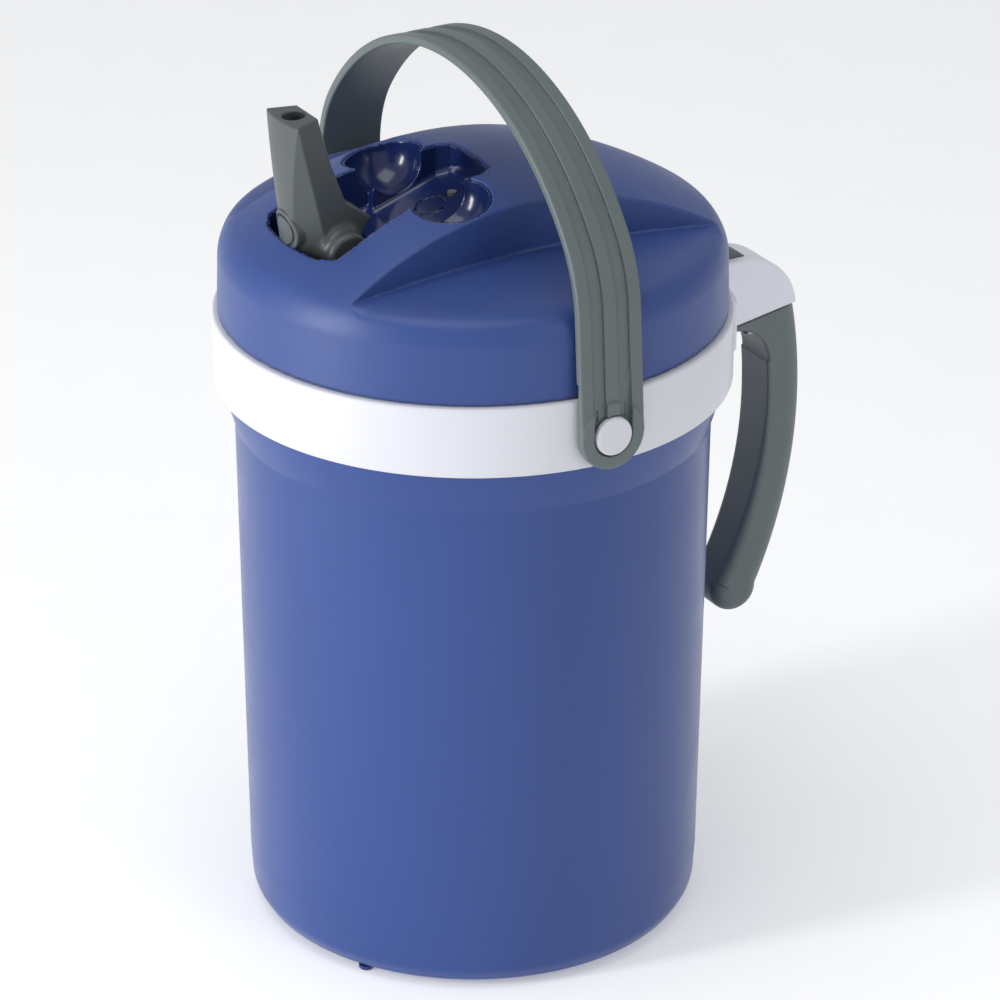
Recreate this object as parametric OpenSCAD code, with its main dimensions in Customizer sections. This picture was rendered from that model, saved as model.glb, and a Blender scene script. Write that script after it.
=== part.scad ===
// Insulated water jug with a screw lid, a flip-up spout, a carrying bail and a side handle.
// Millimetres, +Z up. The origin is the centre of the base, on the surface it stands on.
// The spout is towards -Y, the side handle towards +Y, and the bail turns on pins along X.

/* [Body] */
// Radius of the wall just above the rounded base edge
wall_base_r = 95.2; // [94.5:0.1:95.5]
// Radius of the wall below the shoulder
wall_top_r = 97.8; // [97.2:0.1:98.2]
// Radius of the flat underside
base_r = 91.4; // [91:0.1:92]
// Height of the crease between wall and shoulder
shoulder_z = 220; // [216:1:224]
// Thickness of the outer shell
shell_t = 2.2; // [2:0.1:2.4]
// Inside radius of the liner that holds the water
liner_r = 85; // [84:0.5:85]
// Height of the three feet
foot_h = 2; // [1.5:0.1:2.2]

/* [Collar] */
// Outside radius of the collar
collar_r = 106.3; // [106:0.1:106.4]
// Height of the collar's lower edge
collar_z = 239.2; // [239:0.1:239.4]
// Height of the collar's upper edge, where the lid begins
seam_z = 268.5; // [268.3:0.1:268.6]

/* [Lid] */
// Radius of the lid's lower edge
lid_r = 104; // [103.6:0.1:104]
// Height of the dome above the collar
dome_h = 65; // [63:0.5:66]
// Thickness of the lid's wall
lid_t = 2.6; // [2.4:0.1:2.8]
// Height of the two finger scoops' floors above the collar
scoop_h = 35; // [34:0.5:36]
// Distance from the lid's centre to each scoop's wall
scoop_x = 45.2; // [45:0.1:46]
// Axial travel of the screw thread in one full turn
thread_lead = 24; // [20:1:24]

/* [Spout] */
// Distance of the spout's hinge in front of the jug's centre
hinge_y = 66; // [65.8:0.1:66.2]
// Height of the spout's hinge
hinge_z = 309; // [308.9:0.1:309.2]
// Radius of the spout's turning barrel
barrel_r = 9; // [8.8:0.1:9]
// Half the length of the barrel
barrel_x = 19; // [18:0.5:19.5]
// Radius of the drinking bore
bore_r = 4.6; // [4:0.1:4.8]
// Lean of the drinking bore from the vertical, in degrees
bore_lean = 14.8; // [14.5:0.1:15]

/* [Bail] */
// Height of the bail's pivots
pivot_z = 252.9; // [252:0.1:253.5]
// Width of the strap
strap_w = 28.5; // [27:0.5:29]
// Thickness of the strap at its rims
strap_t = 3.8; // [3.4:0.1:4]
// Depth of the strap's two channels
channel_d = 1.4; // [1:0.1:1.6]
// Radius of the pivot pins
pin_r = 3.98; // [3.9:0.01:4]

/* [Side handle] */
// Width of the arm and the grip
grip_w = 22; // [20:1:24]
// Length of arc, in degrees each side, over which the saddle hugs the collar
saddle_a = 25; // [22:1:28]

/* [Hidden] */
$fn = 120;

gap = 0.3;                       // space between pieces that do not touch
big = 400;                       // larger than any part of the jug

// Outer shell and what it holds
floor_t = 2.6;                   // ring around the base opening
base_open_r = 84;                // radius of that opening
rim_r = 101.2;                   // outside of the shell's upper rim
rim_z = 240.8;                   // top of the shell's upper rim
foot_ring_r = 87.9;              // circle that the feet stand on
foot_r = 3.2;
peg_r = 1.5;
liner_t = 1.8;
liner_z = 12;                    // underside of the liner
flange_z = rim_z + gap;          // liner flange, over the shell's rim
flange_t = 2.3;
neck_r = 85;                     // outside of the neck
neck_t = 2.2;
neck_z = 264.5;                  // top of the neck

// Collar
collar_t = 2.7;
ledge_z = flange_z + flange_t + 0.2;
mouth_r = 95;                    // opening in the collar's top

// Screw thread: four ramps of short steps in the lid, which run under four lugs on the neck
starts = 4;
steps = 5;
step_a = 9;                      // degrees in one step
thread_t = 1.9;                  // height of a step
thread_z = 250;                  // underside of the lowest step
lug_a = [10, 21];                // start and length of a lug, in degrees
lug_z = thread_z + 3.9;
lug_t = 1.5;
ring_r = 88.4;                   // inside of the lid's threaded ring

// Lid: a ball-shaped dome, a rounded rim and a slightly drafted wall
lid_z = seam_z + 0.4;
rim_x = 103;                     // lid radius at the top of its wall
rim_round = 15;
ball_r = 179.3;
ball_z = seam_z + dome_h - ball_r;
crease = 0.06;                   // proudness of the rounded rim, which makes its edges crisp
round_x = rim_x - rim_round;
round_z = ball_z + sqrt(pow(ball_r - rim_round, 2) - pow(round_x, 2));
scoop_z = seam_z + scoop_h;
scoop_r = 625;                   // radius of a scoop's curved wall
scoop_tilt = 3.4;                // degrees by which the floor falls outwards
scoop_edge = 98;                 // where the floor is at its stated height

// Recess for the spout
pocket_r = 84;                   // front wall of the pocket, round the lid's centre
pocket_z = 290.5;
pocket_x = 27.2;
throat = [22.2, -36];            // half-width and place where the throat meets the channel
channel_x = 16.5;
channel_y = [-47, -2];           // front and rear end of the channel
channel_z = 305.2;               // floor at the front end
channel_slope = 0.354;
bowl = [28.2, -26, 327];         // centre of the right finger bowl
bowl_r = 15.8;
tray_t = 1;
seal_lean = -12;                 // lean of the passage through the seal
tube_y = -70;                    // place of the flow tube
vent_y = -9.7;                   // place of the vent
vent_z = 318.9;                  // top of the vent plug

// Lid underside
plate_z = 269.3;
plate_t = 2;
plug_r = 78;
plug_z = 257;
plug_t = 2;

// Bail: a three-centred arch on two slightly splayed legs
side_c = [50.9, 298.8];          // centre of the right side arc, X and Z
side_r = 56.25;
join_a = atan2(3, 4);            // where the side arcs meet the top arc
top_z = side_c[1] - side_c[0] * tan(join_a);
top_r = side_r + side_c[0] / cos(join_a);
splay = asin(0.07584);           // lean of the legs
eye_x = 106.6;                   // inner face of the bail's eyes
eye_out = 110.9;                 // outer face of the bail's eyes
cup_x = 108.5;                   // floor of the cup that takes the button
cup_r = 8.7;
button_r = 8;

// Side handle, in the plane of Y and Z
arm_c = [124, 238];              // centre of the arm's rounded end
arm_r = 27;
split = [[90, 235.3], [119, 235.3], [160, 242.4]];
outer_c = [-53, 198];            // centre of the grip's outer curve
outer_r = 210;
inner_c = [-32, 200];            // centre of the grip's inner curve
inner_r = 170;
heel_c = [125.5, 111];           // centre of the grip's rounded lower end
heel_r = 11;
web_c = [120.8, 216];            // centre of the curve under the arm
web_r = 17;
saddle_r = 108.6;
saddle_z = [242, 265];
screw_z = [251, 260];            // heights of the screws that hold the arm
grip_screw_y = 131;

// Extrudes a shape drawn in Y and Z along X, centred on X = 0.
module along_x(width) {
    rotate([90, 0, 90]) linear_extrude(width, center = true) children();
}

// A cylinder along +X from x0 to x1.
module rod_x(x0, x1, r) {
    translate([x0, 0, 0]) rotate([0, 90, 0]) cylinder(r = r, h = x1 - x0);
}

// Both mirror images of a thing on the +X side.
module both_sides() {
    children();
    mirror([1, 0, 0]) children();
}

// The lid's thread: arcs of short steps that climb with the lead, from radius r0 to r1.
module thread(r0, r1) {
    for (s = [0 : starts - 1]) {
        for (i = [0 : steps - 1]) {
            rotate(s * 360 / starts + (i + 0.7) * step_a)
                translate([0, 0, thread_z + i * thread_lead * step_a / 360])
                    rotate_extrude(angle = step_a + 1)
                        translate([r0, 0]) square([r1 - r0, thread_t]);
        }
    }
}

// The neck's lugs, which hold the lid's thread down.
module lugs(r0, r1) {
    for (s = [0 : starts - 1]) {
        rotate(s * 360 / starts + lug_a[0]) translate([0, 0, lug_z])
            rotate_extrude(angle = lug_a[1]) translate([r0, 0]) square([r1 - r0, lug_t]);
    }
}

// ---- Body ----

module feet() {
    color("midnightblue") for (a = [-60, 60, 180]) {
        rotate(a) translate([foot_ring_r, 0, 0]) {
            cylinder(r1 = foot_r - 0.6, r2 = foot_r, h = 0.6);
            translate([0, 0, 0.6]) cylinder(r = foot_r, h = foot_h - 0.6);
            cylinder(r = peg_r, h = foot_h + floor_t - 0.5);
        }
    }
}

module outer_shell() {
    inner_base_r = wall_base_r - shell_t;
    inner_top_r = wall_top_r - shell_t;
    color("royalblue") difference() {
        rotate_extrude() polygon([
            [base_open_r, foot_h], [base_r, foot_h], [93.2, 5], [94.5, 11], [wall_base_r, 20],
            [wall_top_r, shoulder_z], [103.4, collar_z - 0.2], [rim_r, collar_z - 0.2],
            [rim_r, rim_z], [rim_r - shell_t, rim_z], [rim_r - shell_t, 237],
            [inner_top_r, shoulder_z + 0.8], [inner_base_r, 21], [inner_base_r - 1, 10],
            [90, foot_h + floor_t], [base_open_r, foot_h + floor_t]
        ]);
        for (a = [-60, 60, 180]) {
            rotate(a) translate([foot_ring_r, 0, foot_h - 1]) cylinder(r = peg_r + 0.05, h = 3.3);
        }
    }
}

module base_plate() {
    lip_z = foot_h + floor_t + gap;
    color("midnightblue") rotate_extrude() polygon([
        [0, foot_h + 0.6], [base_open_r - gap, foot_h + 0.6], [base_open_r - gap, lip_z],
        [88.5, lip_z], [88.5, lip_z + 2], [81.3, lip_z + 2], [81.3, foot_h + 3],
        [0, foot_h + 3]
    ]);
}

module foam_base() {
    color("khaki") translate([0, 0, 7.2]) cylinder(r = 84, h = liner_z - 7.2 - gap);
}

module foam_jacket() {
    color("khaki") rotate_extrude() polygon([
        [liner_r + liner_t + gap, 13], [91.5, 13], [wall_base_r - shell_t - gap, 21],
        [wall_top_r - shell_t - gap, shoulder_z - 0.5], [wall_top_r - shell_t - gap, 236],
        [liner_r + liner_t + gap, 236]
    ]);
}

module inner_liner() {
    out_r = liner_r + liner_t;
    color("gainsboro") union() {
        rotate_extrude() polygon([
            [0, liner_z], [out_r - 4.8, liner_z], [out_r, liner_z + 4.8], [out_r, flange_z],
            [103.3, flange_z], [103.3, flange_z + flange_t], [neck_r, flange_z + flange_t],
            [neck_r, neck_z], [neck_r - neck_t, neck_z], [neck_r - neck_t, flange_z + 1.9],
            [liner_r, flange_z - 2.1], [liner_r, liner_z + 5.6],
            [liner_r - 3.7, liner_z + liner_t + 0.1], [0, liner_z + liner_t + 0.1]
        ]);
        lugs(neck_r - 0.5, ring_r - 0.8);
    }
}

// ---- Collar ----

module collar_ring() {
    in_r = collar_r - collar_t;
    color("whitesmoke") difference() {
        rotate_extrude() polygon([
            [in_r, collar_z], [collar_r - 0.5, collar_z], [collar_r, collar_z + 0.5],
            [collar_r, seam_z - 1], [collar_r - 1, seam_z], [mouth_r, seam_z],
            [mouth_r, seam_z - 2.3], [in_r, seam_z - 2.3], [in_r, ledge_z + 2.4],
            [in_r - 3, ledge_z + 2.4], [in_r - 3, ledge_z], [in_r, ledge_z]
        ]);
        both_sides() translate([0, 0, pivot_z]) rod_x(95, 115, pin_r + 0.02);
        handle_screw_holes(2.1);
    }
}

// Holes along Y for the screws that join the collar and the arm.
module handle_screw_holes(r) {
    for (z = screw_z) {
        translate([0, 97, z]) rotate([-90, 0, 0]) cylinder(r = r, h = 23.2);
    }
}

module pivot_buttons() {
    color("white") both_sides() translate([0, 0, pivot_z]) {
        rod_x(101, cup_x + 1, pin_r);
        rod_x(cup_x + 0.2, eye_out + 0.3, button_r);
        translate([eye_out + 0.3, 0, 0]) rotate([0, 90, 0])
            cylinder(r1 = button_r, r2 = button_r - 1, h = 0.7);
    }
}

module pivot_clips() {
    color("silver") both_sides() translate([0, 0, pivot_z]) difference() {
        rod_x(101.4, 102.9, 6.8);
        rod_x(101, 103.5, pin_r + 0.02);
    }
}

// ---- Side handle ----

module arm_profile() {
    difference() {
        union() {
            translate([100, 230]) square([arm_c[0] - 100, arm_c[1] + arm_r - 230]);
            translate(arm_c) circle(arm_r);
        }
        polygon([[90, 200], [160, 200], split[2], split[1], split[0]]);
    }
}

module handle_bracket() {
    tall = saddle_z[1] - saddle_z[0];
    color("whitesmoke") difference() {
        union() {
            intersection() {
                rotate_extrude() polygon([
                    [collar_r + 0.1, saddle_z[0]], [saddle_r - 1, saddle_z[0]],
                    [saddle_r, saddle_z[0] + 2], [saddle_r, saddle_z[1] - 2],
                    [saddle_r - 1, saddle_z[1]], [collar_r + 0.1, saddle_z[1]]
                ]);
                translate([0, 0, saddle_z[0] - 1]) linear_extrude(tall + 2) polygon([
                    [0, 0], [150 * sin(saddle_a), 150 * cos(saddle_a)], [0, 200],
                    [-150 * sin(saddle_a), 150 * cos(saddle_a)]
                ]);
            }
            along_x(grip_w) arm_profile();
        }
        translate([0, 0, 220]) cylinder(r = collar_r + 0.1, h = 60);
        handle_screw_holes(2.02);
        for (x = [-5.5, 5.5]) {
            translate([x, grip_screw_y, 230]) cylinder(r = 1.92, h = 24.2);
        }
    }
}

module handle_screws() {
    color("silver") for (z = screw_z) {
        translate([0, 100.9, z]) rotate([-90, 0, 0]) {
            cylinder(r = 3.8, h = 2.5);
            cylinder(r = 2, h = 19);
        }
    }
}

// Outline of the grip: two arcs, a rounded lower end and a curve under the arm.
module grip_profile() {
    end_v = (heel_c - outer_c) / norm(heel_c - outer_c);
    difference() {
        union() {
            intersection() {
                translate(outer_c) circle(outer_r);
                polygon([
                    heel_c - 20 * end_v, heel_c + 20 * end_v, [170, 160], [170, 244],
                    split[1] - [0, 0.2], [100, split[1][1] - 0.2]
                ]);
            }
            translate(heel_c) circle(heel_r);
        }
        intersection() {
            translate(inner_c) circle(inner_r);
            translate([0, 100]) square([170, web_c[1] - 100]);
        }
        translate(web_c) circle(web_r);
        translate([80, web_c[1] - 1]) square([web_c[0] - 80, web_r + 1]);
        translate([80, 232]) square([39, 20]);
    }
}

module side_grip() {
    color("slategray") difference() {
        intersection() {
            along_x(grip_w) grip_profile();
            along_x(grip_w) polygon([
                [80, 90], [180, 90], split[2] + [0, -0.2], split[1] - [0, 0.2], [80, 235.1]
            ]);
        }
        for (x = [-5.5, 5.5]) {
            translate([x, grip_screw_y, 220]) cylinder(r = 1.92, h = 30);
            translate([x, grip_screw_y, 220]) cylinder(r = 3.7, h = 12.3);
        }
    }
}

module grip_screws() {
    color("silver") for (x = [-5.5, 5.5]) {
        translate([x, grip_screw_y, 229.8]) {
            cylinder(r = 3.6, h = 2.4);
            cylinder(r = 1.9, h = 24);
        }
    }
}

module thumb_rest() {
    top = arm_c[1] + arm_r + 0.05;
    color("slategray") along_x(13) difference() {
        polygon([
            [107.8, top], [107.8, 275.6], [109, 276.8], [111, 276.4], [134, 260.4],
            [130, 256], [arm_c[0], top]
        ]);
        translate(arm_c) circle(arm_r + 0.05);
    }
}

// ---- Bail ----

// Section of the strap: x is 0 at the outer face, y runs across the width.
module strap_section() {
    half = strap_w / 2;
    difference() {
        translate([-strap_t, -half]) square([strap_t, strap_w]);
        for (s = [-1, 1]) {
            translate([-channel_d, s * 5.7 - 2.7]) square([channel_d + 1, 5.4]);
        }
    }
}

// Part of a ring of strap: the wedge between the directions from and to.
module strap_arc(r, from, to) {
    intersection() {
        rotate_extrude() translate([r, 0]) strap_section();
        translate([0, 0, -strap_w]) linear_extrude(2 * strap_w)
            polygon([[0, 0], 2 * r * from, 4 * r * (from + to) / norm(from + to), 2 * r * to]);
    }
}

// The arch, between its two legs.
module strap_arch() {
    join_v = [cos(join_a), sin(join_a)];
    leg_v = [cos(splay), sin(splay)];
    rotate([90, 0, 0]) translate([0, top_z]) strap_arc(top_r, join_v, [-join_v[0], join_v[1]]);
    both_sides() rotate([90, 0, 0]) translate(side_c) strap_arc(side_r, leg_v, join_v);
}

module bail_strap() {
    leg_top = [side_c[0] + side_r * cos(splay), 0, side_c[1] + side_r * sin(splay)];
    leg_len = (leg_top[2] - pivot_z) / cos(splay);
    color("slategray") difference() {
        union() {
            strap_arch();
            both_sides() {
                translate(leg_top) rotate([0, -splay, 0]) rotate([180, 0, 0])
                    linear_extrude(leg_len) strap_section();
                translate([0, 0, pivot_z]) rod_x(eye_x, eye_out, strap_w / 2);
            }
        }
        both_sides() {
            translate([90, -20, 230]) cube([eye_x - 90, 40, 46]);
            translate([0, 0, pivot_z]) {
                rod_x(100, 120, pin_r + 0.07);
                rod_x(cup_x, 120, cup_r);
            }
        }
    }
}

// ---- Lid ----

// Half section of the lid's outside, drawn inset by e.
module dome_profile(e) {
    intersection() {
        square([lid_r, big]);
        union() {
            intersection() {
                translate([0, ball_z]) circle(ball_r - e);
                polygon([
                    [0, lid_z], [round_x, lid_z], [round_x, round_z],
                    [2 * round_x, round_z + (round_z - ball_z)], [0, big]
                ]);
            }
            translate([round_x, round_z]) circle(rim_round + crease - e);
            polygon([[0, lid_z], [lid_r - e, lid_z], [rim_x - e, round_z], [0, round_z]]);
        }
    }
}

module dome_solid(e) {
    rotate(90) rotate_extrude() intersection() {
        dome_profile(e);
        translate([0, lid_z]) square([lid_r, 100]);
    }
}

// The finger scoops: a slightly tilted floor and a curved upright wall, grown by e.
module scoops(e) {
    both_sides() intersection() {
        translate([scoop_x + scoop_r, 0, 290]) cylinder(r = scoop_r + e, h = 60);
        translate([scoop_edge, 0, scoop_z]) rotate([0, scoop_tilt, 0])
            translate([-75, -110, -e]) cube([120, 220, 60]);
    }
}

// Plan of the recess without its bowls, grown by e.
module recess_plan(e) {
    intersection() {
        polygon([
            [throat[0] + e, throat[1] + e], [pocket_x + e, -72], [pocket_x + e, -77],
            [22 + e, -82], [22 + e, -95], [-22 - e, -95], [-22 - e, -82], [-pocket_x - e, -77],
            [-pocket_x - e, -72], [-throat[0] - e, throat[1] + e]
        ]);
        circle(pocket_r + e);
    }
    translate([-channel_x - e, throat[1] - 5])
        square([2 * (channel_x + e), channel_y[1] + e - throat[1] + 5]);
}

// The room inside the recess: pocket, sloping channel and two bowls, grown by e.
module recess_room(e) {
    end_z = channel_z + (channel_y[1] - channel_y[0]) * channel_slope;
    intersection() {
        translate([0, 0, pocket_z - e]) linear_extrude(60) recess_plan(e);
        along_x(80) polygon([
            [-95, pocket_z - e], [channel_y[0] + e, pocket_z - e],
            [channel_y[0] + e, channel_z - e], [channel_y[1] + e, end_z - e],
            [channel_y[1] + e, 360], [-95, 360]
        ]);
    }
    both_sides() translate(bowl) {
        sphere(bowl_r + e);
        cylinder(r = bowl_r + e, h = 25);
    }
}

// A passage through the hinge's axis, from one distance to another past it.
module passage(from, to, r, lean) {
    translate([0, -hinge_y, hinge_z]) rotate([180 + lean, 0, 0])
        translate([0, 0, from]) cylinder(r = r, h = to - from);
}

module tube_way(z0, z1, r) {
    translate([0, tube_y, z0]) cylinder(r = r, h = z1 - z0);
}

module vent_way(z0, z1, r) {
    translate([0, vent_y, z0]) cylinder(r = r, h = z1 - z0);
}

module lid_shell() {
    color("royalblue") difference() {
        dome_solid(0);
        scoops(0);
        difference() {
            translate([0, 0, -0.01]) dome_solid(lid_t);
            scoops(lid_t);
        }
        translate([0, 0, 280]) linear_extrude(80) recess_plan(tray_t + 0.1);
        both_sides() translate([bowl[0], bowl[1], 290]) cylinder(r = bowl_r + tray_t + 0.1, h = 60);
    }
}

module spout_tray() {
    color("midnightblue") difference() {
        intersection() {
            dome_solid(0);
            recess_room(tray_t);
        }
        recess_room(0);
        tube_way(280, 292, 5.6);
        vent_way(280, 340, 2.3);
        translate([0, -hinge_y, hinge_z]) rod_x(-40, 40, 2.52);
    }
}

module spout_pins() {
    color("silver") both_sides() translate([0, -hinge_y, hinge_z]) rod_x(13.2, 27.4, 2.5);
}

module spout_seal() {
    color("dimgray") difference() {
        translate([-9, -hinge_y - 9.5, pocket_z + 0.05]) cube([18, 13, 10.6]);
        translate([0, -hinge_y, hinge_z]) rod_x(-20, 20, barrel_r + 0.06);
        passage(0, 40, 4, seal_lean);
    }
}

module flow_tube() {
    color("gainsboro") difference() {
        tube_way(256, pocket_z, 5.5);
        tube_way(250, 300, 4);
    }
}

module vent_tube() {
    color("gainsboro") difference() {
        vent_way(256, vent_z - 2.6, 2.2);
        vent_way(250, 330, 1.4);
    }
}

module vent_plug() {
    color("dimgray") union() {
        vent_way(vent_z - 2.4, vent_z, 1.9);
        vent_way(vent_z - 6.6, vent_z - 2.3, 1.3);
    }
}

module lid_foam() {
    color("khaki") difference() {
        translate([0, 0, plate_z + plate_t + gap]) cylinder(r = 96, h = 28);
        recess_room(tray_t + gap);
        tube_way(260, 300, 5.9);
        vent_way(260, 330, 2.6);
    }
}

module lid_liner() {
    color("gainsboro") difference() {
        union() {
            rotate_extrude() polygon([
                [0, plug_z], [plug_r - 1, plug_z], [plug_r, plug_z + 1], [plug_r, plate_z],
                [ring_r, plate_z], [ring_r, 248], [ring_r + 2.6, 248],
                [ring_r + 2.6, plate_z], [lid_r - lid_t - 0.5, plate_z],
                [lid_r - lid_t - 0.5, plate_z + plate_t], [plug_r - plug_t, plate_z + plate_t],
                [plug_r - plug_t, plug_z + plug_t], [0, plug_z + plug_t]
            ]);
            thread(neck_r + 0.7, ring_r + 0.5);
        }
        tube_way(250, 280, 5.6);
        vent_way(250, 280, 2.3);
    }
}

module lid_gasket() {
    color("white") rotate_extrude() difference() {
        translate([80.6, neck_z + gap]) square([4.2, plate_z - neck_z - 2 * gap]);
        for (z = [neck_z + 1.2, plate_z - 1.9]) {
            translate([84.4, z]) square([1, 0.7]);
        }
    }
}

// ---- Spout ----

module spout() {
    front_lean = 6.2;            // lean of the rounded front
    front_r = 17;
    color("slategray") difference() {
        union() {
            intersection() {
                along_x(27.4) polygon([
                    [-95, 307], [-90.5, 345], [-88.2, 358.5], [-86.8, 364.4], [-75.2, 365],
                    [-69.4, 345.4], [-63, 328], [-51.6, 319.3], [-57.4, 313], [-66, 307]
                ]);
                translate([0, -hinge_y, hinge_z]) rotate([front_lean, 0, 0])
                    translate([0, 0, -10]) cylinder(r = front_r, h = 80);
            }
            translate([0, -hinge_y, hinge_z]) rod_x(-barrel_x, barrel_x, barrel_r);
        }
        passage(-70, 0, bore_r, bore_lean);
        passage(-4, 20, 4, seal_lean);
        both_sides() translate([0, -hinge_y, hinge_z]) rod_x(13, 30, 2.57);
    }
}

outer_shell();
base_plate();
feet();
foam_base();
foam_jacket();
inner_liner();
collar_ring();
handle_bracket();
handle_screws();
side_grip();
grip_screws();
thumb_rest();
pivot_buttons();
pivot_clips();
bail_strap();
lid_gasket();
lid_shell();
spout_tray();
lid_foam();
lid_liner();
spout_seal();
flow_tube();
vent_tube();
vent_plug();
spout_pins();
spout();
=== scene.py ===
import math

import bmesh
import bpy
import numpy as np
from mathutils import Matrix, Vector


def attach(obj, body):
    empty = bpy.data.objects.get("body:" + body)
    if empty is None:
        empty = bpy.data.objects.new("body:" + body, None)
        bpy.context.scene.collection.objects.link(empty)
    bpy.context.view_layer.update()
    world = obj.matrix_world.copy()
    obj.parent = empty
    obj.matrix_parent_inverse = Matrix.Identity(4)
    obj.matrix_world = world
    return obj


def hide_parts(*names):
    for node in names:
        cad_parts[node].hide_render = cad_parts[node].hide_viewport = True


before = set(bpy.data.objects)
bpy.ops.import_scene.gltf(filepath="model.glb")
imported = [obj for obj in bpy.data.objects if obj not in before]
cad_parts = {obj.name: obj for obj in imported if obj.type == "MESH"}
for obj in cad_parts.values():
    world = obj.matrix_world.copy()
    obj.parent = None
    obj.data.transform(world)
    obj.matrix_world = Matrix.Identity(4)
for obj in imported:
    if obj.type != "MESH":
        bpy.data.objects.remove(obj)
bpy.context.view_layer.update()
MM = 0.001


# ---- Node helpers ----

def linear(c):
    """An sRGB 0-255 colour as linear RGBA."""
    out = [v / 255 for v in c]
    out = [v / 12.92 if v <= 0.04045 else ((v + 0.055) / 1.055) ** 2.4 for v in out]
    return (out[0], out[1], out[2], 1.0)


class Graph:
    """Short calls for building one material's node tree."""

    def __init__(self, name):
        self.mat = bpy.data.materials.new(name)
        self.mat.use_nodes = True
        self.tree = self.mat.node_tree
        self.tree.nodes.clear()
        self.out = self.tree.nodes.new("ShaderNodeOutputMaterial")
        self.bsdf = self.tree.nodes.new("ShaderNodeBsdfPrincipled")
        self.link(self.bsdf.outputs[0], self.out.inputs[0])
        self.coord = self.tree.nodes.new("ShaderNodeTexCoord").outputs["Object"]

    def link(self, a, b):
        self.tree.links.new(a, b)

    def node(self, kind, values=None, links=None):
        n = self.tree.nodes.new(kind)
        for key, value in (values or {}).items():
            if isinstance(key, str) and hasattr(n, key):
                setattr(n, key, value)
            else:
                n.inputs[key].default_value = value
        for key, source in (links or {}).items():
            self.link(source, n.inputs[key])
        return n

    def scaled(self, x, y, z):
        return self.node("ShaderNodeMapping", {"Scale": (x, y, z)}, {"Vector": self.coord}).outputs[0]

    def noise(self, scale, detail=3.0, rough=0.5, vector=None):
        n = self.node("ShaderNodeTexNoise", {"Scale": scale, "Detail": detail, "Roughness": rough},
                      {"Vector": vector or self.coord})
        return n.outputs[0]

    def spread(self, source, low, high, out_low, out_high):
        n = self.node("ShaderNodeMapRange", {"From Min": low, "From Max": high, "To Min": out_low,
                                             "To Max": out_high}, {"Value": source})
        return n.outputs[0]

    def mix(self, fac, a, b):
        n = self.node("ShaderNodeMix", {"data_type": "RGBA"})
        for socket, value in ((n.inputs[0], fac), (n.inputs[6], a), (n.inputs[7], b)):
            if isinstance(value, bpy.types.NodeSocket):
                self.link(value, socket)
            else:
                socket.default_value = value
        return n.outputs[2]

    def math(self, op, a, b=0.0):
        n = self.node("ShaderNodeMath", {"operation": op})
        for socket, value in ((n.inputs[0], a), (n.inputs[1], b)):
            if isinstance(value, bpy.types.NodeSocket):
                self.link(value, socket)
            else:
                socket.default_value = value
        return n.outputs[0]

    def bump(self, height, strength, distance):
        n = self.node("ShaderNodeBump", {"Strength": strength, "Distance": distance}, {"Height": height})
        self.link(n.outputs[0], self.bsdf.inputs["Normal"])

    def edge_wear(self):
        n = self.node("ShaderNodeNewGeometry").outputs["Pointiness"]
        return self.spread(n, 0.52, 0.62, 0.0, 1.0)

    def set(self, **values):
        for key, value in values.items():
            self.bsdf.inputs[key.replace("_", " ")].default_value = value


def moulded(name, colour, rough, grain=1400.0, grain_mm=0.02, tint=0.06, coat=0.0, sheen=0.0,
            sheen_tint=(1, 1, 1, 1), wear=0.25, rough_spread=0.07, ior=1.5, orange=60.0):
    """Moulded plastic: fine texture grain, faint flow mottling, roughness drift and worn edges."""
    g = Graph(name)
    base = linear(colour)
    dark = tuple(v * (1 - tint) for v in base[:3]) + (1.0,)
    pale = tuple(min(1.0, v * (1 + tint) + 0.002) for v in base[:3]) + (1.0,)
    worn = tuple(min(1.0, v * 1.35 + 0.02) for v in base[:3]) + (1.0,)
    flow = g.noise(orange / 6, 4.0, 0.55, g.scaled(1.0, 1.0, 0.35))
    cloud = g.mix(g.spread(flow, 0.3, 0.7, 0.0, 1.0), dark, pale)
    scuff = g.noise(420.0, 5.0, 0.7)
    edge = g.math("MULTIPLY", g.edge_wear(), g.math("MULTIPLY", g.spread(scuff, 0.4, 0.65, 0.0, 1.0), wear))
    g.link(g.mix(edge, cloud, worn), g.bsdf.inputs["Base Color"])
    smear = g.noise(38.0, 5.0, 0.6)
    g.link(g.spread(smear, 0.3, 0.7, rough - rough_spread / 2, rough + rough_spread / 2),
           g.bsdf.inputs["Roughness"])
    fine = g.noise(grain, 2.0, 0.6)
    skin = g.noise(orange, 2.0, 0.5)
    height = g.math("ADD", fine, g.math("MULTIPLY", skin, 0.6))
    g.bump(height, 0.35, grain_mm * MM)
    g.set(IOR=ior, Coat_Weight=coat, Coat_Roughness=0.08, Sheen_Weight=sheen, Sheen_Roughness=0.4,
          Sheen_Tint=sheen_tint)
    return g.mat


def brushed(name, colour, rough):
    g = Graph(name)
    base = linear(colour)
    streak = g.noise(900.0, 3.0, 0.6, g.scaled(1.0, 1.0, 0.08))
    dark = tuple(v * 0.8 for v in base[:3]) + (1.0,)
    g.link(g.mix(streak, dark, base), g.bsdf.inputs["Base Color"])
    g.link(g.spread(streak, 0.3, 0.7, rough - 0.06, rough + 0.08), g.bsdf.inputs["Roughness"])
    g.bump(streak, 0.3, 0.02 * MM)
    g.set(Metallic=1.0)
    return g.mat


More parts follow.
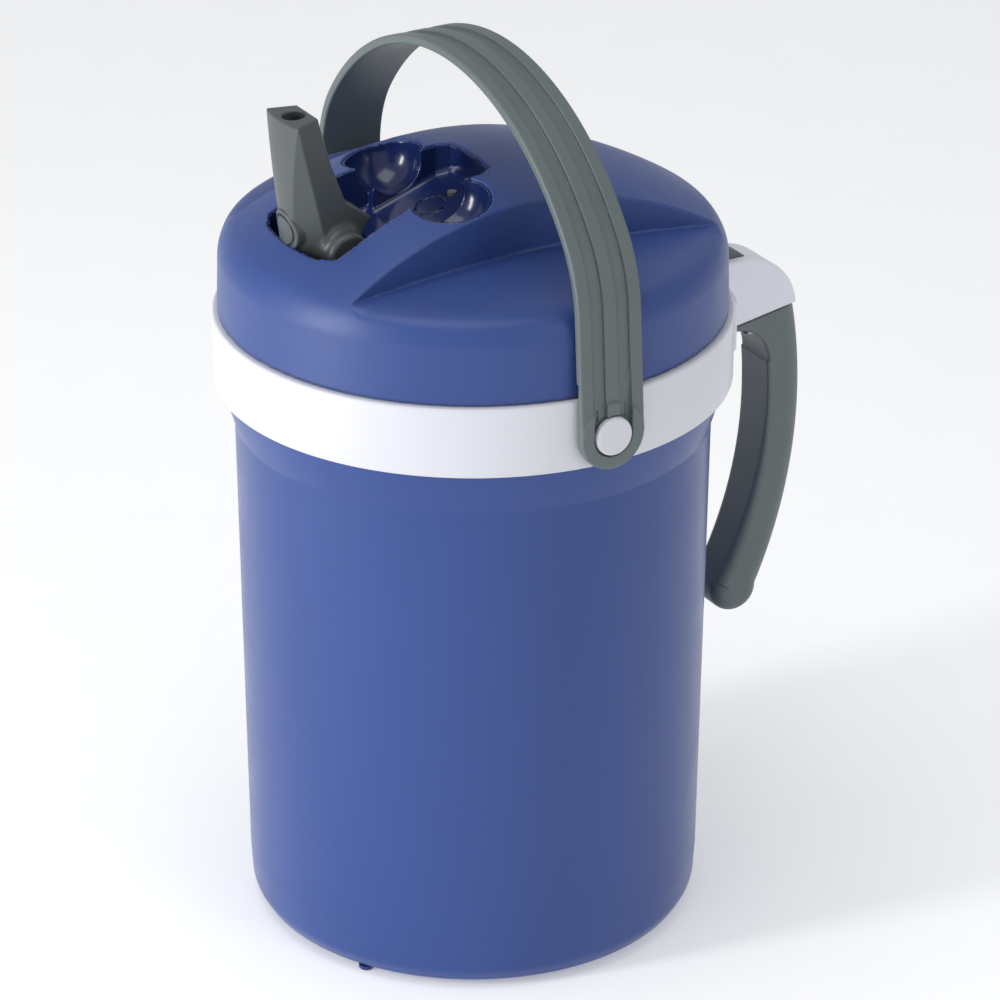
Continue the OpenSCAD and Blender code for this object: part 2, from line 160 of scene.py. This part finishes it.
def foamed(name, colour):
    g = Graph(name)
    base = linear(colour)
    cells = g.node("ShaderNodeTexVoronoi", {"Scale": 600.0}, {"Vector": g.coord}).outputs[0]
    dark = tuple(v * 0.7 for v in base[:3]) + (1.0,)
    g.link(g.mix(g.spread(cells, 0.0, 0.6, 0.0, 1.0), dark, base), g.bsdf.inputs["Base Color"])
    g.bump(cells, 0.8, 0.3 * MM)
    g.set(Roughness=0.9)
    return g.mat


blue_body = moulded("blue_body", (43, 70, 136), 0.3, grain=1500.0, grain_mm=0.010, tint=0.05, ior=1.46)
blue_lid = moulded("blue_lid", (44, 70, 134), 0.44, grain=1300.0, grain_mm=0.022, tint=0.06, ior=1.5,
                   sheen=0.12, sheen_tint=(0.8, 0.82, 1.0, 1))
navy_gloss = moulded("navy_gloss", (24, 40, 90), 0.2, grain=900.0, grain_mm=0.003, tint=0.05, coat=0.2,
                     wear=0.1, rough_spread=0.04)
navy_matte = moulded("navy_matte", (34, 56, 112), 0.5, grain_mm=0.02)
white_satin = moulded("white_satin", (216, 216, 224), 0.33, grain=1500.0, grain_mm=0.008, tint=0.02,
                      wear=0.0)
white_grain = moulded("white_grain", (222, 222, 230), 0.42, grain=900.0, grain_mm=0.05, tint=0.04,
                      wear=0.0)
liner_white = moulded("liner_white", (232, 233, 236), 0.25, grain_mm=0.004, tint=0.02, wear=0.0)
strap_grey = moulded("strap_grey", (98, 108, 109), 0.42, grain=1500.0, grain_mm=0.014, tint=0.05)
grip_grey = moulded("grip_grey", (92, 102, 103), 0.45, grain=1500.0, grain_mm=0.016, tint=0.05)
spout_grey = moulded("spout_grey", (74, 80, 82), 0.36, grain=1200.0, grain_mm=0.010, tint=0.06)
seal_grey = moulded("seal_grey", (120, 122, 126), 0.6, grain_mm=0.02, tint=0.08)
steel = brushed("steel", (170, 172, 176), 0.32)
foam = foamed("foam_yellow", (222, 205, 150))

NODE_MATERIALS = {
    "outer_shell": blue_body, "base_plate": navy_matte, "feet": navy_matte, "foam_base": foam,
    "foam_jacket": foam, "inner_liner": liner_white, "collar_ring": white_satin,
    "handle_bracket": white_satin, "handle_screws": steel, "side_grip": grip_grey, "grip_screws": steel,
    "thumb_rest": grip_grey, "pivot_buttons": white_satin, "pivot_clips": steel,
    "bail_strap": strap_grey, "lid_gasket": seal_grey, "lid_shell": blue_lid, "spout_tray": navy_gloss,
    "lid_foam": foam, "lid_liner": liner_white, "spout_seal": seal_grey, "flow_tube": liner_white,
    "vent_tube": liner_white, "vent_plug": seal_grey, "spout_pins": steel, "spout": spout_grey,
}
for node, mat in NODE_MATERIALS.items():
    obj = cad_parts[node]
    if not obj.material_slots:
        obj.data.materials.append(mat)
    for s in obj.material_slots:
        s.material = mat


# ---- Implicit solids: a shape is a distance function in millimetres, meshed and shaded smoothly ----

def rmax(a, b, r):
    """Where both a and b are inside, with a rounded edge of radius r."""
    return np.minimum(np.maximum(a, b), -r) + np.hypot(np.maximum(a + r, 0), np.maximum(b + r, 0))


def rmin(a, b, r):
    """Where a or b is inside, with a fillet of radius r."""
    return -rmax(-a, -b, r)


def poly2(u, v, pts):
    """Distance to a closed outline."""
    pts = np.asarray(pts, float)
    d = np.full(u.shape, 1e9)
    inside = np.zeros(u.shape, bool)
    for (ax, ay), (bx, by) in zip(pts, np.roll(pts, -1, axis=0)):
        ex, ey = bx - ax, by - ay
        wx, wy = u - ax, v - ay
        t = np.clip((wx * ex + wy * ey) / (ex * ex + ey * ey), 0, 1)
        d = np.minimum(d, np.hypot(wx - t * ex, wy - t * ey))
        if ay != by:
            cross = (v >= min(ay, by)) & (v < max(ay, by)) & (wx < wy * ex / ey)
            inside ^= cross
    return np.where(inside, -d, d)


def slope(f, p, h=0.02):
    g = np.empty_like(p)
    for i in range(3):
        q = p.copy()
        q[:, i] += h
        g[:, i] = f(q[:, 0], q[:, 1], q[:, 2])
        q[:, i] -= 2 * h
        g[:, i] -= f(q[:, 0], q[:, 1], q[:, 2])
    return g / (2 * h)


def settle(f, p, most, steps):
    """Moves points onto the surface."""
    for _ in range(steps):
        g = slope(f, p)
        move = f(p[:, 0], p[:, 1], p[:, 2]) / np.maximum((g * g).sum(1), 0.05)
        p -= g * np.clip(move, -most, most)[:, None]
    return p


CORNERS = [(a, b, c) for a in (0, 1) for b in (0, 1) for c in (0, 1)]
EDGES = [(a, b) for a in CORNERS for b in CORNERS
         if sum(b) - sum(a) == 1 and all(y >= x for x, y in zip(a, b))]


def steps_between(lo, hi, cell, fine):
    """Grid positions from lo to hi: fine is None or (start, end, cell) of a finer stretch."""
    lo, hi = lo - 1.7 * cell, hi + 2.7 * cell
    if fine is None:
        return np.arange(lo, hi, cell)
    start, end, small = fine
    parts = [np.linspace(lo, start, max(2, int((start - lo) / cell) + 1))[:-1],
             np.linspace(start, end, int((end - start) / small) + 1)[:-1],
             np.linspace(end, hi, max(2, int((hi - end) / cell) + 1))]
    return np.concatenate(parts)


def surface_net(f, lo, hi, cell, relax=3, fine=(None, None, None)):
    """Vertices and quads of the surface f = 0 inside the box."""
    axes = [steps_between(lo[i], hi[i], cell, fine[i]) for i in range(3)]
    shape = [len(a) for a in axes]
    vals = np.empty(shape)
    yy, zz = np.meshgrid(axes[1], axes[2], indexing="ij")
    for i, x in enumerate(axes[0]):
        vals[i] = f(np.full(yy.size, x), yy.ravel(), zz.ravel()).reshape(yy.shape)
    inside = vals < 0
    count = sum(inside[a:shape[0] - 1 + a, b:shape[1] - 1 + b, c:shape[2] - 1 + c].astype(np.int8)
                for a, b, c in CORNERS)
    mixed = (count > 0) & (count < 8)
    index = np.full(mixed.shape, -1)
    cells = np.argwhere(mixed)
    index[mixed] = np.arange(len(cells))
    total, hits = np.zeros((len(cells), 3)), np.zeros(len(cells))
    for a, b in EDGES:
        va = vals[cells[:, 0] + a[0], cells[:, 1] + a[1], cells[:, 2] + a[2]]
        vb = vals[cells[:, 0] + b[0], cells[:, 1] + b[1], cells[:, 2] + b[2]]
        cross = (va < 0) != (vb < 0)
        t = np.where(cross, va / np.where(cross, va - vb, 1), 0)
        total += np.where(cross[:, None], np.array(a) + t[:, None] * (np.array(b) - np.array(a)), 0)
        hits += cross
    share = total / hits[:, None]
    p = np.stack([axes[i][cells[:, i]] + share[:, i] * (axes[i][cells[:, i] + 1] - axes[i][cells[:, i]])
                  for i in range(3)], 1)
    quads = []
    for ax in range(3):
        bx, cx = (ax + 1) % 3, (ax + 2) % 3
        ins = np.moveaxis(inside, (ax, bx, cx), (0, 1, 2))
        ind = np.moveaxis(index, (ax, bx, cx), (0, 1, 2))
        cross = ins[:-1] != ins[1:]
        cross[:, 0, :] = cross[:, -1, :] = False
        cross[:, :, 0] = cross[:, :, -1] = False
        i, j, k = np.nonzero(cross)
        q = np.stack([ind[i, j - 1, k - 1], ind[i, j, k - 1], ind[i, j, k], ind[i, j - 1, k]], 1)
        flip = ~ins[i, j, k]
        q[flip] = q[flip][:, ::-1]
        quads.append(q)
    quads = np.concatenate(quads)
    u = quads.ravel()
    v = np.roll(quads, -1, axis=1).ravel()
    degree = np.bincount(u, minlength=len(p)) + np.bincount(v, minlength=len(p))
    small = min(float(np.diff(a).min()) for a in axes)
    for _ in range(relax):
        mean = np.stack([(np.bincount(u, p[v, i], len(p)) + np.bincount(v, p[u, i], len(p))) / degree
                         for i in range(3)], 1)
        p = settle(f, p + 0.55 * (mean - p), small / 3, 1)
    return settle(f, p, small / 4, 2), quads


def add_mesh(name, verts, faces, mat, normals=None):
    mesh = bpy.data.meshes.new(name)
    mesh.from_pydata([tuple(v) for v in verts], [], [tuple(int(i) for i in q) for q in faces])
    mesh.polygons.foreach_set("use_smooth", [True] * len(mesh.polygons))
    mesh.materials.append(mat)
    mesh.update()
    if normals is not None:
        mesh.normals_split_custom_set_from_vertices([tuple(n) for n in normals])
    obj = bpy.data.objects.new(name, mesh)
    bpy.context.scene.collection.objects.link(obj)
    return obj


def implicit(name, f, lo, hi, cell, mat, relax=3, fine=(None, None, None)):
    p, quads = surface_net(f, lo, hi, cell, relax, fine)
    g = slope(f, p)
    g /= np.maximum(np.linalg.norm(g, axis=1), 1e-6)[:, None]
    return add_mesh(name, p * MM, quads, mat, g)


def rounded(points, radii, steps=7):
    """A closed outline with its corners rounded: radii has one value per point."""
    out = []
    n = len(points)
    for i in range(n):
        p0, p1, p2 = (Vector(points[(i + k) % n]) for k in (-1, 0, 1))
        r = radii[i]
        if r <= 0:
            out.append(tuple(p1))
            continue
        a, b = (p0 - p1).normalized(), (p2 - p1).normalized()
        half = math.acos(max(-1, min(1, a.dot(b)))) / 2
        cut = min(r / math.tan(half), 0.48 * (p0 - p1).length, 0.48 * (p2 - p1).length)
        r = cut * math.tan(half)
        centre = p1 + (a + b).normalized() * (r / math.sin(half))
        start, end = p1 + a * cut - centre, p1 + b * cut - centre
        turn = math.atan2(start.x * end.y - start.y * end.x, start.dot(end))
        for k in range(steps + 1):
            t = turn * k / steps
            c, s = math.cos(t), math.sin(t)
            out.append((centre.x + start.x * c - start.y * s, centre.y + start.x * s + start.y * c))
    return out


def lathe(name, profile, mat, segments=192):
    """Turns a closed (radius, height) outline about Z."""
    bm = bmesh.new()
    rings = []
    for k in range(segments):
        a = 2 * math.pi * k / segments
        ring = []
        for r, z in profile:
            ring.append(bm.verts.new((r * math.cos(a) * MM, r * math.sin(a) * MM, z * MM)))
        rings.append(ring)
    m = len(profile)
    for k in range(segments):
        ra, rb = rings[k], rings[(k + 1) % segments]
        for i in range(m):
            j = (i + 1) % m
            bm.faces.new((ra[i], rb[i], rb[j], ra[j]))
    bmesh.ops.recalc_face_normals(bm, faces=bm.faces)
    mesh = bpy.data.meshes.new(name)
    bm.to_mesh(mesh)
    bm.free()
    for poly in mesh.polygons:
        poly.use_smooth = True
    mesh.materials.append(mat)
    obj = bpy.data.objects.new(name, mesh)
    bpy.context.scene.collection.objects.link(obj)
    return obj


def stands_for(obj, body, slot, *nodes):
    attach(obj, body)
    if nodes:
        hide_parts(*nodes)
    return obj


# ---- Body ----

BASE_Z, SHOULDER_Z, SHELL_TOP = 2.0, 220.0, 240.8
shell_outline = rounded(
    [(84.0, BASE_Z), (90.6, BASE_Z), (94.4, 8.5), (95.2, 22.0), (97.8, SHOULDER_Z), (103.4, 239.0),
     (101.2, 239.0), (101.2, SHELL_TOP), (99.0, SHELL_TOP), (99.0, 237.0), (95.6, 220.8), (93.0, 21.0),
     (92.0, 10.0), (90.0, 4.6), (84.0, 4.6)],
    [0.4, 5.0, 9.0, 12.0, 2.5, 0.5, 0.2, 0.3, 0.3, 1.5, 6.0, 6.0, 3.0, 2.0, 0.4])
stands_for(lathe("shell_moulding", shell_outline, blue_body), "jug", "blue_shell", "outer_shell")

collar_outline = rounded(
    [(103.6, 239.2), (106.3, 239.2), (106.3, 268.5), (95.0, 268.5), (95.0, 266.2), (103.6, 266.2)],
    [0.3, 0.7, 1.3, 0.5, 0.5, 0.8])
stands_for(lathe("collar_band", collar_outline, white_satin), "jug", "white_plastic",
           "collar_ring")

# ---- Lid ----

LID_R, RIM_X, RIM_ROUND, LID_T = 104.0, 103.2, 7.0, 4.2
SEAM_Z = 268.5
LID_Z = SEAM_Z + 0.4
BALL_R = 179.3
BALL_Z = SEAM_Z + 65.0 - BALL_R
ROUND_Z = BALL_Z + math.sqrt((BALL_R - RIM_ROUND) ** 2 - (RIM_X - RIM_ROUND) ** 2)
SCOOP_Z, SCOOP_X, SCOOP_R, SCOOP_FALL, SCOOP_EDGE = 303.5, 45.4, 600.0, 0.071, 99.0
BOWL_C, BOWL_R = (28.0, -26.0, 326.6), 15.2
POCKET_R = 84.0
CHANNEL_X, CHANNEL_Y = 17.6, (-47.0, -2.0)
PLAN = [(22.2, -36.0), (27.3, -71.0), (27.3, -77.0), (22.0, -82.5), (22.0, -95.0), (-22.0, -95.0),
        (-22.0, -82.5), (-27.3, -77.0), (-27.3, -71.0), (-22.2, -36.0)]
CHANNEL = [(CHANNEL_X, -60.0), (CHANNEL_X, -7.5), (14.6, CHANNEL_Y[1]), (-14.6, CHANNEL_Y[1]),
           (-CHANNEL_X, -7.5), (-CHANNEL_X, -60.0)]
FLOOR = [(-95.0, 290.5), (CHANNEL_Y[0], 290.5), (CHANNEL_Y[0], 305.2), (CHANNEL_Y[1], 321.1),
         (CHANNEL_Y[1] + 8, 323.9), (CHANNEL_Y[1] + 8, 380.0), (-95.0, 380.0)]
VENT_Y, VENT_HOLE_R = -9.7, 2.2
MARK_Y, MARK_R, MARK_HALF = -19.6, 6.4, 0.35


def dome(x, y, z):
    r = np.hypot(x, y)
    lean = (LID_R - RIM_X) / (ROUND_Z - LID_Z)
    wall = (r - LID_R + (z - LID_Z) * lean) / math.hypot(1, lean)
    return rmax(np.hypot(r, z - BALL_Z) - BALL_R, wall, RIM_ROUND)


def scoop_wall(x, y):
    """Distance into a scoop from its wall."""
    return SCOOP_R - np.hypot(np.abs(x) - SCOOP_X - SCOOP_R, y)


def beside_scoops(x, y, z):
    floor_z = SCOOP_Z + SCOOP_FALL * (SCOOP_EDGE - np.hypot(x, y))
    return rmin(scoop_wall(x, y), z - floor_z, 0.9)


def recess_plan(x, y):
    """Plan of the pocket and the channel, without the bowls."""
    wide = rmax(poly2(x, y, PLAN), np.hypot(x, y) - POCKET_R, 3.0)
    return rmin(wide, poly2(x, y, CHANNEL), 0.6)


def bowls(x, y, z):
    dx, dy, dz = np.abs(x) - BOWL_C[0], y - BOWL_C[1], np.maximum(BOWL_C[2] - z, 0)
    return np.sqrt(dx * dx + dy * dy + dz * dz) - BOWL_R


def recess_top(x, y):
    return np.minimum(recess_plan(x, y), bowls(x, y, np.full_like(x, 400.0)))


def recess_room(x, y, z):
    trough = rmax(recess_plan(x, y), poly2(y, z, FLOOR), 2.6)
    return rmin(trough, bowls(x, y, z), 0.9)


def lid_outside(x, y, z):
    edge = 0.7 + 3.3 * np.clip((scoop_wall(x, y) - 1.0) / 5.0, 0, 1)
    return rmax(dome(x, y, z), beside_scoops(x, y, z), edge)


def lid_shell(x, y, z):
    """The dome as a skin with an opening over the recess."""
    solid = lid_outside(x, y, z)
    skin = np.maximum(rmax(solid, LID_Z - z, 0.8), -(solid + LID_T))
    return rmax(skin, 1.05 - recess_top(x, y), 0.7)


def tray(x, y, z):
    """The recess as a thin tray, with a ring on its floor and a hole for the vent."""
    room = recess_room(x, y, z)
    wall = np.maximum(np.maximum(room - 2.4, recess_top(x, y) - 1.0), -room)
    wall = rmax(wall, lid_outside(x, y, z) + 0.45, 0.45)
    ring = np.abs(np.hypot(x, y - MARK_Y) - MARK_R) - MARK_HALF
    drop = (z - FLOOR[2][1] - (y - CHANNEL_Y[0]) * 0.3533) * 0.943
    wall = rmin(wall, rmax(ring, np.abs(drop) - 0.45, 0.2), 0.15)
    hole = np.hypot(x, y - VENT_Y) - VENT_HOLE_R
    return np.maximum(wall, -hole)


lid = implicit("lid_moulding", lid_shell, (-LID_R, -LID_R, LID_Z), (LID_R, LID_R, 333.6), 1.6, blue_lid,
               fine=((-54.0, 54.0, 0.9), (-90.0, 90.0, 0.9), (294.0, 334.5, 1.0)))
stands_for(lid, "lid", "blue_shell", "lid_shell")
well = implicit("spout_well", tray, (-48.5, -88.0, 287.0), (48.5, 6.0, 334.0), 0.75, navy_gloss)
stands_for(well, "lid", "navy_gloss", "spout_tray")

# ---- Spout ----

HINGE = (-66.0, 309.0)
BORE_TOP = (-80.5, 364.0)
BORE_R, BARREL_R, BARREL_X = 4.6, 9.0, 19.0
FOOT_Z, TIP_Z = 306.0, 364.0
SPOUT_HALF = 13.6
DISC_Z, DISC_R, DISC_RING_R = 317.5, 8.6, 6.4
BLADE = [(-100.0, 363.9), (-86.5, 364.4), (-74.5, 365.0), (-69.6, 346.0), (-63.0, 328.0), (-51.2, 319.3),
         (-57.0, 313.5), (-60.0, 303.0), (-75.0, 303.0), (-100.0, 311.0)]


def spout(x, y, z):
    """A tapering prism with a curved front, chamfered front edges, a heel and a barrel."""
    s = np.clip((z - FOOT_Z) / (TIP_Z - FOOT_Z), 0, 1)
    ax = np.abs(x)
    front_y = -84.0 - 3.3 * s - 1.2 * 4 * s * (1 - s)
    front_r = 17.5 + 42.5 * s ** 2
    front = np.hypot(ax, y - (front_y + front_r)) - front_r
    edge_y = -75.5 - 10.4 * s
    side_lean = 0.12 + 0.26 * s
    side = ((ax - SPOUT_HALF) + (y - edge_y) * side_lean) / np.hypot(1, side_lean)
    chamfer = 0.8 * (ax - SPOUT_HALF) - 0.6 * (y - edge_y) + 0.5 + 2.0 * (1 - s)
    blade = poly2(y, z, BLADE)
    body = rmax(rmax(front, side, 0.6), blade, 0.8)
    body = rmax(body, chamfer, 0.4)
    disc = rmax(np.hypot(x, z - DISC_Z) - DISC_R, front - 0.7, 0.4)
    ring = np.maximum(np.abs(np.hypot(x, z - DISC_Z) - DISC_RING_R) - 0.4, -front - 0.1)
    body = rmin(body, np.maximum(rmax(disc, -ring, 0.2), y + 74.0), 0.2)
    barrel = rmax(np.hypot(y - HINGE[0], z - HINGE[1]) - BARREL_R, ax - BARREL_X, 2.2)
    solid = rmin(body, barrel, 3.5)
    uy, uz = BORE_TOP[0] - HINGE[0], BORE_TOP[1] - HINGE[1]
    n = math.hypot(uy, uz)
    bore = np.hypot(x, ((y - HINGE[0]) * uz - (z - HINGE[1]) * uy) / n) - BORE_R
    return rmax(solid, -bore, 0.5)


flip = implicit("flip_spout", spout, (-19.5, -91.0, 299.0), (19.5, -50.0, 366.0), 0.5, spout_grey)
stands_for(flip, "spout", "spout_plastic", "spout")

# ---- Bail ----

PIVOT_Z, EYE_R, STRAP_T, CHANNEL_D = 252.9, 14.25, 3.8, 1.4
EYE_IN, EYE_OUT, CUP_X, SLOT_X = 106.6, 110.9, 108.5, 108.1
CUP_R, PIN_HOLE_R = 8.7, 4.05
CHANNEL_Y0, CHANNEL_HALF = 5.7, 2.7
SLOT_Y, SLOT_R, SLOT_TOP = 7.3, 1.2, 277.5
SIDE_C, SIDE_R = (50.9, 298.8), 56.25
TOP_Z, TOP_R = 260.625, 119.875
SPLAY = math.asin(0.07584)


def strap_depth(x, z):
    """Distance from the strap's outer face: positive outside."""
    ax = np.abs(x)
    top = np.hypot(ax, z - TOP_Z) - TOP_R
    side = np.hypot(ax - SIDE_C[0], z - SIDE_C[1]) - SIDE_R
    leg = (ax - SIDE_C[0]) * math.cos(SPLAY) + (z - SIDE_C[1]) * math.sin(SPLAY) - SIDE_R
    in_top = ax * 0.6 < (z - TOP_Z) * 0.8
    in_leg = (z - SIDE_C[1]) * math.cos(SPLAY) < (ax - SIDE_C[0]) * math.sin(SPLAY)
    return np.where(in_top, top, np.where(in_leg, leg, side))


def strap(x, y, z):
    """The strap with two channels outside, a slot beside each eye and a cup for the button."""
    depth = strap_depth(x, z)
    ax, ay = np.abs(x), np.abs(y)
    slab = rmax(np.maximum(depth, -depth - STRAP_T), ay - EYE_R, 1.0)
    slab = np.maximum(slab, PIVOT_Z - z)
    eye = rmax(np.maximum(ax - EYE_OUT, EYE_IN - ax), np.hypot(y, z - PIVOT_Z) - EYE_R, 1.0)
    solid = rmin(slab, eye, 0.3)
    groove = np.maximum(np.abs(ay - CHANNEL_Y0) - CHANNEL_HALF, -(depth + CHANNEL_D))
    groove = np.maximum(groove, PIVOT_Z - z)
    slot_top = np.hypot(ay - SLOT_Y, np.maximum(z - SLOT_TOP, 0)) - SLOT_R
    slot = np.maximum(np.maximum(slot_top, SLOT_X - ax), PIVOT_Z + 3 - z)
    cup = np.maximum(np.hypot(y, z - PIVOT_Z) - CUP_R, CUP_X - ax)
    pin = np.hypot(y, z - PIVOT_Z) - PIN_HOLE_R
    solid = rmax(solid, -groove, 0.55)
    solid = rmax(solid, -np.where((z < 285.0) & (ax > 90.0), slot, 5.0), 0.3)
    solid = rmax(solid, -np.minimum(cup, pin), 0.4)
    return np.maximum(solid, np.where(z < 276.0, EYE_IN - ax, -5.0))


bail = implicit("bail_arch", strap, (-111.5, -14.6, 238.0), (111.5, 14.6, 381.0), 0.7, strap_grey, relax=3)
stands_for(bail, "bail", "grey_plastic", "bail_strap")


BUTTON_R, BUTTON_IN, BUTTON_OUT, PIN_R, PIN_IN = 8.0, 108.7, 111.9, 3.95, 101.0


def buttons(x, y, z):
    ax, r = np.abs(x), np.hypot(y, z - PIVOT_Z)
    cap = rmax(np.maximum(ax - BUTTON_OUT, BUTTON_IN - ax), r - BUTTON_R, 1.1)
    return np.minimum(cap, np.maximum(np.maximum(r - PIN_R, ax - 109.5), PIN_IN - ax))


for side in (-1, 1):
    lo, hi = sorted((side * 100.0, side * 112.5))
    caps = implicit("button_" + ("left" if side < 0 else "right"), buttons, (lo, -8.5, PIVOT_Z - 8.5),
                    (hi, 8.5, PIVOT_Z + 8.5), 0.45, white_satin)
    stands_for(caps, "jug", "white_plastic", "pivot_buttons")

# ---- Side handle ----

ARM_C, ARM_R, ARM_SPLIT, SPLIT_RISE = (124.0, 238.0), 27.0, (119.0, 235.3), 0.1732
GRIP_HALF = 11.0
SADDLE_IN, SADDLE_R, SADDLE_Z, SADDLE_A = 106.4, 108.6, (242.0, 265.0), math.radians(25.0)
OUTER_C, OUTER_R = (-53.0, 198.0), 210.0
INNER_C, INNER_R = (-32.0, 200.0), 170.0
HEEL_C, HEEL_R = (125.5, 111.0), 11.0
WEB_C, WEB_R = (120.8, 216.0), 17.0
THUMB_HALF = 6.5
THUMB = [(107.8, 262.0), (107.8, 275.6), (109.0, 276.8), (111.0, 276.4), (134.0, 260.4), (130.0, 256.0),
         (124.0, 262.0)]


def split_line(y):
    return ARM_SPLIT[1] + np.maximum(y - ARM_SPLIT[0], 0) * SPLIT_RISE


def bracket(x, y, z):
    """The arm with its saddle plate round the collar."""
    top = np.where(y < ARM_C[0], z - ARM_C[1] - ARM_R, np.hypot(y - ARM_C[0], z - ARM_C[1]) - ARM_R)
    arm = rmax(np.abs(x) - GRIP_HALF, rmax(top, split_line(y) - z, 0.4), 1.1)
    arm = np.maximum(arm, 98.0 - y)
    r = np.hypot(x, y)
    edge = (np.abs(x) * math.cos(SADDLE_A) - y * math.sin(SADDLE_A))
    height = np.maximum(SADDLE_Z[0] - z, z - SADDLE_Z[1])
    plate = np.maximum(rmax(r - SADDLE_R, rmax(edge, height, 2.5), 1.0), -y)
    return np.maximum(rmin(arm, plate, 1.2), SADDLE_IN - r)


def grip(x, y, z):
    """The curved grip: flat towards the jug, round outside, with a rounded lower end."""
    outer = np.hypot(y - OUTER_C[0], z - OUTER_C[1]) - OUTER_R
    inner = np.hypot(y - INNER_C[0], z - INNER_C[1]) - INNER_R
    web = np.where(y > WEB_C[0], np.hypot(y - WEB_C[0], z - WEB_C[1]) - WEB_R, z - WEB_C[1] - WEB_R)
    room = np.where(z < WEB_C[1], inner, web)
    room = np.minimum(room, np.maximum(y - ARM_SPLIT[0], 232.0 - z))
    vy, vz = HEEL_C[0] - OUTER_C[0], HEEL_C[1] - OUTER_C[1]
    below = ((y - HEEL_C[0]) * vz - (z - HEEL_C[1]) * vy) / math.hypot(vy, vz)
    low = np.clip((200.0 - z) / 80.0, 0, 1)
    side = np.abs(x) - GRIP_HALF
    blade = rmax(rmax(side, outer, 9.5), -room, 1.3 + 3.2 * low)
    blade = np.maximum(blade, below)
    heel = rmax(side, np.hypot(y - HEEL_C[0], z - HEEL_C[1]) - HEEL_R, 6.5)
    solid = np.minimum(blade, heel)
    return rmax(solid, z - split_line(y) + 0.2, 0.3)


def thumb(x, y, z):
    """The ramp on top of the arm."""
    ramp = rmax(poly2(y, z, THUMB), np.abs(x) - THUMB_HALF, 1.0)
    over = np.where(y < ARM_C[0], ARM_C[1] + ARM_R + 0.05 - z,
                    ARM_R + 0.05 - np.hypot(y - ARM_C[0], z - ARM_C[1]))
    return np.maximum(ramp, over)


piece = implicit("handle_arm", bracket, (-47.0, 96.0, 234.0), (47.0, 151.5, 265.5), 0.8, white_grain)
stands_for(piece, "jug", "white_plastic", "handle_bracket")
piece = implicit("handle_grip", grip, (-11.2, 112.0, 99.5), (11.2, 157.5, 241.0), 0.8, grip_grey)
stands_for(piece, "jug", "grey_plastic", "side_grip")
piece = implicit("thumb_ramp", thumb, (-6.7, 107.5, 255.0), (6.7, 134.5, 277.5), 0.45, grip_grey)
stands_for(piece, "jug", "grey_plastic", "thumb_rest")


# ---- Stage ----

def floor():
    """A pale square floor, six metres wide."""
    bm = bmesh.new()
    bmesh.ops.create_grid(bm, x_segments=24, y_segments=24, size=3.0)
    mesh = bpy.data.meshes.new("floor")
    bm.to_mesh(mesh)
    bm.free()
    obj = bpy.data.objects.new("floor", mesh)
    bpy.context.scene.collection.objects.link(obj)
    g = Graph("floor_pale")
    speck = g.noise(25.0, 4.0, 0.6)
    g.link(g.mix(speck, (0.86, 0.86, 0.86, 1), (0.9, 0.9, 0.9, 1)), g.bsdf.inputs["Base Color"])
    g.set(Roughness=0.8, Emission_Color=(1, 1, 1, 1), Emission_Strength=0.3)
    mesh.materials.append(g.mat)


LIGHTS_AIM = Vector((0.0, 0.0, 0.2))


def area_light(name, azimuth, elevation, distance, size, power, size_y=None):
    """A lamp aimed at the object: azimuth in degrees from -Y towards +X."""
    data = bpy.data.lights.new(name, "AREA")
    data.energy = power
    data.size = size
    if size_y:
        data.shape = "RECTANGLE"
        data.size_y = size_y
    obj = bpy.data.objects.new(name, data)
    a, e = math.radians(azimuth), math.radians(elevation)
    way = Vector((math.sin(a) * math.cos(e), -math.cos(a) * math.cos(e), math.sin(e)))
    obj.location = LIGHTS_AIM + distance * way
    obj.rotation_euler = (LIGHTS_AIM - obj.location).to_track_quat("-Z", "Y").to_euler()
    bpy.context.scene.collection.objects.link(obj)
    return obj


floor()
world = bpy.data.worlds.new("studio")
bpy.context.scene.world = world
world.use_nodes = True
background = world.node_tree.nodes["Background"]
background.inputs[0].default_value = (0.95, 0.97, 1.0, 1)
background.inputs[1].default_value = 0.5
bpy.context.scene.view_settings.view_transform = "Standard"

area_light("key_left", -4, 6, 1.5, 0.22, 19, 1.3)
area_light("fill_right", 105, 25, 1.8, 0.5, 3, 1.2)
area_light("top", 20, 75, 1.4, 0.9, 5)

camera_data = bpy.data.cameras.new("camera")
camera = bpy.data.objects.new("camera", camera_data)
bpy.context.scene.collection.objects.link(camera)
bpy.context.scene.camera = camera
CAMERA_AT = Vector((1.5278, -0.8714, 1.0192))
CAMERA_TO = Vector((0.0, 0.0, 0.1794))
camera.location = CAMERA_AT
camera.rotation_euler = (CAMERA_TO - CAMERA_AT).to_track_quat("-Z", "Y").to_euler()
camera_data.lens = 169.2
camera_data.sensor_width = 36.0
camera_data.shift_x = 0.027
camera_data.dof.use_dof = False
camera_data.clip_end = 20.0
